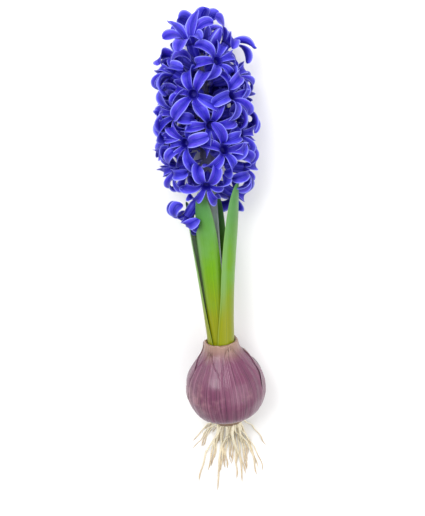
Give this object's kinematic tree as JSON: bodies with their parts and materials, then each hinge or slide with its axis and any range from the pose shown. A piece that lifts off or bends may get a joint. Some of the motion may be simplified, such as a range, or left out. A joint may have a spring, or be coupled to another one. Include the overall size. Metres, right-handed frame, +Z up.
{
  "type": "hyacinth flower with bulb",
  "caption": "Hyacinth lifted whole and lying on its side: rooted bulb, strap leaves and a stem with a dense head of curled blue-violet florets.",
  "frame": {"origin": "middle of the small flat under the bulb, where the plant rests on the surface", "axes": "+Y along the plant from the bulb to the flower head, +Z up from the surface, +X to the right as seen from above with the head away"},
  "size_m": [0.0782, 0.356, 0.0688],
  "materials": {
    "root": "matte, pale cream roots",
    "bulb_skin": "dry papery skin, purple-brown, slightly glossy",
    "leaf": "waxy, glossy green",
    "stem": "satin grey-green, tinged purple",
    "petal": "soft satin blue-violet"
  },
  "bodies": {
    "root": {"root_tuft": "root", "bulb": "bulb_skin", "leaf_1": "leaf", "leaf_2": "leaf", "leaf_3": "leaf", "leaf_4": "leaf", "leaf_5": "leaf", "flower_stem": "stem", "floret_01": "petal", "floret_02": "petal", "floret_03": "petal", "floret_04": "petal", "floret_05": "petal", "floret_06": "petal", "floret_07": "petal", "floret_08": "petal", "floret_09": "petal", "floret_10": "petal", "floret_11": "petal", "floret_12": "petal", "floret_13": "petal", "floret_14": "petal", "floret_15": "petal", "floret_16": "petal", "floret_17": "petal", "floret_18": "petal", "floret_19": "petal", "floret_20": "petal", "floret_21": "petal", "floret_22": "petal", "floret_23": "petal", "floret_24": "petal", "floret_25": "petal", "floret_26": "petal", "floret_27": "petal", "floret_28": "petal", "floret_29": "petal", "floret_30": "petal", "floret_31": "petal", "floret_32": "petal", "floret_33": "petal"}
  },
  "joints": []
}
